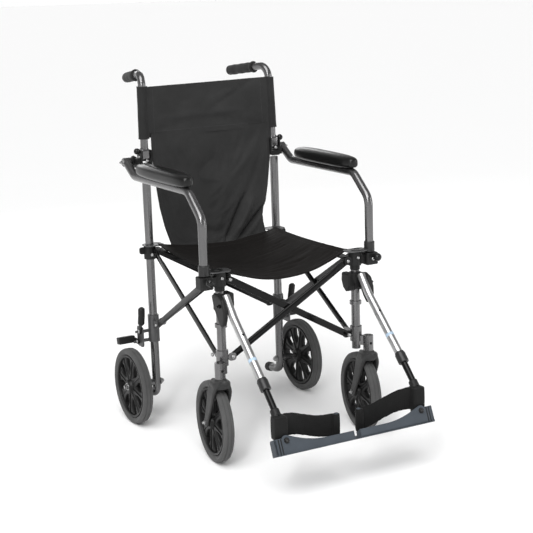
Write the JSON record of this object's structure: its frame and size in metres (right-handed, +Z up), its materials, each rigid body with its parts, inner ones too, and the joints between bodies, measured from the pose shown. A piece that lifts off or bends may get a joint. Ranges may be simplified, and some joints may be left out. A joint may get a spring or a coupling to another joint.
{
  "type": "folding transport wheelchair",
  "caption": "Folding transport wheelchair with crossed braces on every side, sling seat and back, lift-up armrests, swing-away footrests, casters and rear brakes.",
  "frame": {"origin": "on the floor, under the middle of the open chair", "axes": "+Z up, -Y the way the chair faces, +X the seated person's left"},
  "size_m": [0.566, 0.8844, 0.926],
  "materials": {
    "silver_tube": "satin grey coating",
    "polished_tube": "bright polished",
    "black_steel": "gloss black enamel",
    "dark_steel": "satin dark grey",
    "black_plastic": "moulded black plastic",
    "slate_plastic": "moulded slate grey plastic",
    "grip_rubber": "matt ribbed rubber",
    "tyre": "grey rubber tread",
    "pad_skin": "glossy black skin over foam",
    "nylon": "woven nylon"
  },
  "bodies": {
    "rear_frame_right": {"rear_post_right": "silver_tube", "rear_collar_right": "black_plastic", "back_hinge_right": "black_plastic", "back_lower": "nylon"},
    "back_right": {"back_tube_right": "silver_tube", "grip_right": "grip_rubber", "back_upper": "nylon"},
    "rear_corner_right": {"rear_bracket_right": "black_plastic", "seat_sling": "nylon"},
    "front_corner_right": {"front_bracket_right": "black_plastic"},
    "front_frame_right": {"front_post_right": "silver_tube"},
    "side_bar_a_right": {"side_brace_a_right": "dark_steel"},
    "side_bar_b_right": {"side_brace_b_right": "black_steel"},
    "rear_wheel_right": {"rear_hub_right": "black_plastic", "rear_tyre_right": "tyre"},
    "fork_right": {"caster_fork_right": "dark_steel"},
    "caster_wheel_right": {"caster_hub_right": "black_plastic", "caster_tyre_right": "tyre"},
    "arm_pivot_right": {"arm_stub_right": "dark_steel"},
    "armrest_right": {"arm_tube_right": "silver_tube", "arm_pad_right": "pad_skin"},
    "hanger_pivot_right": {"hanger_bush_right": "dark_steel"},
    "hanger_right": {"hanger_clamp_right": "black_plastic", "hanger_tube_right": "polished_tube"},
    "extension_right": {"footrest_extension_right": "black_plastic", "heel_strap_right": "nylon"},
    "plate_right": {"footplate_right": "slate_plastic"},
    "brake_right": {"brake_lever_right": "black_plastic"},
    "shoe_right": {"brake_shoe_right": "black_steel"},
    "rear_frame_left": {"rear_post_left": "silver_tube", "rear_collar_left": "black_plastic", "back_hinge_left": "black_plastic"},
    "back_left": {"back_tube_left": "silver_tube", "grip_left": "grip_rubber"},
    "rear_corner_left": {"rear_bracket_left": "black_plastic"},
    "front_corner_left": {"front_bracket_left": "black_plastic"},
    "front_frame_left": {"front_post_left": "silver_tube"},
    "side_bar_a_left": {"side_brace_a_left": "dark_steel"},
    "side_bar_b_left": {"side_brace_b_left": "black_steel"},
    "rear_wheel_left": {"rear_hub_left": "black_plastic", "rear_tyre_left": "tyre"},
    "fork_left": {"caster_fork_left": "dark_steel"},
    "caster_wheel_left": {"caster_hub_left": "black_plastic", "caster_tyre_left": "tyre"},
    "arm_pivot_left": {"arm_stub_left": "dark_steel"},
    "armrest_left": {"arm_tube_left": "silver_tube", "arm_pad_left": "pad_skin"},
    "hanger_pivot_left": {"hanger_bush_left": "dark_steel"},
    "hanger_left": {"hanger_clamp_left": "black_plastic", "hanger_tube_left": "polished_tube"},
    "extension_left": {"footrest_extension_left": "black_plastic", "heel_strap_left": "nylon"},
    "plate_left": {"footplate_left": "slate_plastic"},
    "brake_left": {"brake_lever_left": "black_plastic"},
    "shoe_left": {"brake_shoe_left": "black_steel"},
    "rear_bar_a": {"rear_brace_a": "black_steel"},
    "rear_bar_b": {"rear_brace_b": "black_steel"},
    "front_bar_a": {"front_brace_a": "black_steel"},
    "front_bar_b": {"front_brace_b": "black_steel"}
  },
  "joints": [
    {"name": "frame_fold", "type": "hinge", "parent": "rear_frame_right", "child": "rear_bar_a", "pos_m": [-0.165, 0.26175, 0.265], "axis": [0, -1, 0], "range_deg": [0, 36], "deforming": ["seat_sling", "back_upper", "back_lower"]},
    {"name": "rear_cross", "type": "hinge", "parent": "rear_bar_a", "child": "rear_bar_b", "pos_m": [0, 0.26175, 0.36], "axis": [0, -1, 0], "range_deg": [-72, 0]},
    {"name": "rear_frame_left_pivot", "type": "hinge", "parent": "rear_bar_b", "child": "rear_frame_left", "pos_m": [0.165, 0.26175, 0.265], "axis": [0, -1, 0], "range_deg": [0, 36]},
    {"name": "rear_corner_left_pivot", "type": "hinge", "parent": "rear_bar_a", "child": "rear_corner_left", "pos_m": [0.165, 0.26175, 0.455], "axis": [0, -1, 0], "range_deg": [-36, 0]},
    {"name": "rear_corner_right_pivot", "type": "hinge", "parent": "rear_bar_b", "child": "rear_corner_right", "pos_m": [-0.165, 0.26175, 0.455], "axis": [0, -1, 0], "range_deg": [0, 36]},
    {"name": "side_fold_right", "type": "hinge", "parent": "rear_frame_right", "child": "side_bar_a_right", "pos_m": [-0.19, 0.22675, 0.265], "axis": [-1, 0, 0], "range_deg": [0, 36]},
    {"name": "side_cross_right", "type": "hinge", "parent": "side_bar_a_right", "child": "side_bar_b_right", "pos_m": [-0.19, 0.06175, 0.36], "axis": [-1, 0, 0], "range_deg": [-72, 0]},
    {"name": "front_frame_right_pivot", "type": "hinge", "parent": "side_bar_b_right", "child": "front_frame_right", "pos_m": [-0.19, -0.10325, 0.265], "axis": [-1, 0, 0], "range_deg": [0, 36]},
    {"name": "front_corner_right_pivot", "type": "hinge", "parent": "side_bar_a_right", "child": "front_corner_right", "pos_m": [-0.19, -0.10325, 0.455], "axis": [-1, 0, 0], "range_deg": [-36, 0]},
    {"name": "side_fold_left", "type": "hinge", "parent": "rear_frame_left", "child": "side_bar_a_left", "pos_m": [0.19, 0.22675, 0.265], "axis": [-1, 0, 0], "range_deg": [0, 36]},
    {"name": "side_cross_left", "type": "hinge", "parent": "side_bar_a_left", "child": "side_bar_b_left", "pos_m": [0.19, 0.06175, 0.36], "axis": [-1, 0, 0], "range_deg": [-72, 0]},
    {"name": "front_frame_left_pivot", "type": "hinge", "parent": "side_bar_b_left", "child": "front_frame_left", "pos_m": [0.19, -0.10325, 0.265], "axis": [-1, 0, 0], "range_deg": [0, 36]},
    {"name": "front_corner_left_pivot", "type": "hinge", "parent": "side_bar_a_left", "child": "front_corner_left", "pos_m": [0.19, -0.10325, 0.455], "axis": [-1, 0, 0], "range_deg": [-36, 0]},
    {"name": "front_fold", "type": "hinge", "parent": "front_frame_right", "child": "front_bar_a", "pos_m": [-0.165, -0.13825, 0.265], "axis": [0, -1, 0], "range_deg": [0, 36]},
    {"name": "front_cross", "type": "hinge", "parent": "front_bar_a", "child": "front_bar_b", "pos_m": [0, -0.13825, 0.36], "axis": [0, -1, 0], "range_deg": [-72, 0]},
    {"name": "back_fold_right", "type": "hinge", "parent": "rear_frame_right", "child": "back_right", "pos_m": [-0.19, 0.26475, 0.706], "axis": [1, 0, 0], "range_deg": [-105, 0]},
    {"name": "back_fold_left", "type": "hinge", "parent": "rear_frame_left", "child": "back_left", "pos_m": [0.19, 0.26475, 0.706], "axis": [1, 0, 0], "range_deg": [-105, 0]},
    {"name": "arm_lift_right", "type": "hinge", "parent": "rear_frame_right", "child": "arm_pivot_right", "pos_m": [-0.21, 0.29175, 0.694], "axis": [-1, 0, 0], "range_deg": [0, 72]},
    {"name": "arm_flip_right", "type": "hinge", "parent": "arm_pivot_right", "child": "armrest_right", "pos_m": [-0.231, 0.29175, 0.694], "axis": [1, 0, 0], "range_deg": [-100, 0]},
    {"name": "hanger_swing_right", "type": "hinge", "parent": "front_frame_right", "child": "hanger_pivot_right", "pos_m": [-0.19, -0.13825, 0.345], "axis": [0, 0, -1], "range_deg": [0, 36]},
    {"name": "swing_away_right", "type": "hinge", "parent": "hanger_pivot_right", "child": "hanger_right", "pos_m": [-0.19, -0.13825, 0.39], "axis": [0, 0, 1], "range_deg": [-90, 0]},
    {"name": "length_right", "type": "slide", "parent": "hanger_right", "child": "extension_right", "axis": [0, -0.7051, -0.7092], "range_m": [0, 0.06]},
    {"name": "footplate_flip_right", "type": "hinge", "parent": "extension_right", "child": "plate_right", "pos_m": [-0.183, -0.41925, 0.142], "axis": [0, 1, 0], "range_deg": [-90, 0], "deforming": ["heel_strap_right"]},
    {"name": "brake_right", "type": "hinge", "parent": "rear_frame_right", "child": "brake_right", "pos_m": [-0.22735, 0.27175, 0.243], "axis": [1, 0, 0], "range_deg": [0, 45]},
    {"name": "brake_shoe_right", "type": "hinge", "parent": "rear_frame_right", "child": "shoe_right", "pos_m": [-0.22735, 0.28575, 0.212], "axis": [-1, 0, 0], "range_deg": [0, 9]},
    {"name": "rear_roll_right", "type": "hinge", "parent": "rear_frame_right", "child": "rear_wheel_right", "pos_m": [-0.257, 0.26175, 0.101], "axis": [1, 0, 0], "continuous": true},
    {"name": "caster_swivel_right", "type": "hinge", "parent": "front_frame_right", "child": "fork_right", "pos_m": [-0.21, -0.16325, 0.24], "axis": [0, 0, 1], "continuous": true},
    {"name": "caster_roll_right", "type": "hinge", "parent": "fork_right", "child": "caster_wheel_right", "pos_m": [-0.20477, -0.11352, 0.101], "axis": [0.9945, -0.1045, 0], "continuous": true},
    {"name": "arm_lift_left", "type": "hinge", "parent": "rear_frame_left", "child": "arm_pivot_left", "pos_m": [0.21, 0.29175, 0.694], "axis": [-1, 0, 0], "range_deg": [0, 72]},
    {"name": "arm_flip_left", "type": "hinge", "parent": "arm_pivot_left", "child": "armrest_left", "pos_m": [0.231, 0.29175, 0.694], "axis": [1, 0, 0], "range_deg": [-100, 0]},
    {"name": "hanger_swing_left", "type": "hinge", "parent": "front_frame_left", "child": "hanger_pivot_left", "pos_m": [0.19, -0.13825, 0.345], "axis": [0, 0, 1], "range_deg": [0, 36]},
    {"name": "swing_away_left", "type": "hinge", "parent": "hanger_pivot_left", "child": "hanger_left", "pos_m": [0.19, -0.13825, 0.39], "axis": [0, 0, -1], "range_deg": [-90, 0]},
    {"name": "length_left", "type": "slide", "parent": "hanger_left", "child": "extension_left", "axis": [0, -0.7051, -0.7092], "range_m": [0, 0.06]},
    {"name": "footplate_flip_left", "type": "hinge", "parent": "extension_left", "child": "plate_left", "pos_m": [0.183, -0.41925, 0.142], "axis": [0, -1, 0], "range_deg": [-90, 0], "deforming": ["heel_strap_left"]},
    {"name": "brake_left", "type": "hinge", "parent": "rear_frame_left", "child": "brake_left", "pos_m": [0.22735, 0.27175, 0.243], "axis": [1, 0, 0], "range_deg": [0, 45]},
    {"name": "brake_shoe_left", "type": "hinge", "parent": "rear_frame_left", "child": "shoe_left", "pos_m": [0.22735, 0.28575, 0.212], "axis": [-1, 0, 0], "range_deg": [0, 9]},
    {"name": "rear_roll_left", "type": "hinge", "parent": "rear_frame_left", "child": "rear_wheel_left", "pos_m": [0.257, 0.26175, 0.101], "axis": [1, 0, 0], "continuous": true},
    {"name": "caster_swivel_left", "type": "hinge", "parent": "front_frame_left", "child": "fork_left", "pos_m": [0.21, -0.16325, 0.24], "axis": [0, 0, 1], "continuous": true},
    {"name": "caster_roll_left", "type": "hinge", "parent": "fork_left", "child": "caster_wheel_left", "pos_m": [0.21696, -0.11373, 0.101], "axis": [0.9903, -0.1392, 0], "continuous": true}
  ],
  "couplings": [
    {"joint": "rear_cross", "follows": "frame_fold", "ratio": -2},
    {"joint": "rear_frame_left_pivot", "follows": "frame_fold", "ratio": 1},
    {"joint": "rear_corner_left_pivot", "follows": "frame_fold", "ratio": -1},
    {"joint": "rear_corner_right_pivot", "follows": "frame_fold", "ratio": 1},
    {"joint": "side_fold_right", "follows": "frame_fold", "ratio": 1},
    {"joint": "side_cross_right", "follows": "frame_fold", "ratio": -2},
    {"joint": "front_frame_right_pivot", "follows": "frame_fold", "ratio": 1},
    {"joint": "front_corner_right_pivot", "follows": "frame_fold", "ratio": -1},
    {"joint": "side_fold_left", "follows": "frame_fold", "ratio": 1},
    {"joint": "side_cross_left", "follows": "frame_fold", "ratio": -2},
    {"joint": "front_frame_left_pivot", "follows": "frame_fold", "ratio": 1},
    {"joint": "front_corner_left_pivot", "follows": "frame_fold", "ratio": -1},
    {"joint": "front_fold", "follows": "frame_fold", "ratio": 1},
    {"joint": "front_cross", "follows": "frame_fold", "ratio": -2},
    {"joint": "back_fold_left", "follows": "back_fold_right", "ratio": 1},
    {"joint": "arm_lift_right", "follows": "frame_fold", "ratio": 2},
    {"joint": "hanger_swing_right", "follows": "frame_fold", "ratio": 1},
    {"joint": "brake_shoe_right", "follows": "brake_right", "ratio": 0.2},
    {"joint": "arm_lift_left", "follows": "frame_fold", "ratio": 2},
    {"joint": "hanger_swing_left", "follows": "frame_fold", "ratio": 1},
    {"joint": "brake_shoe_left", "follows": "brake_left", "ratio": 0.2}
  ]
}
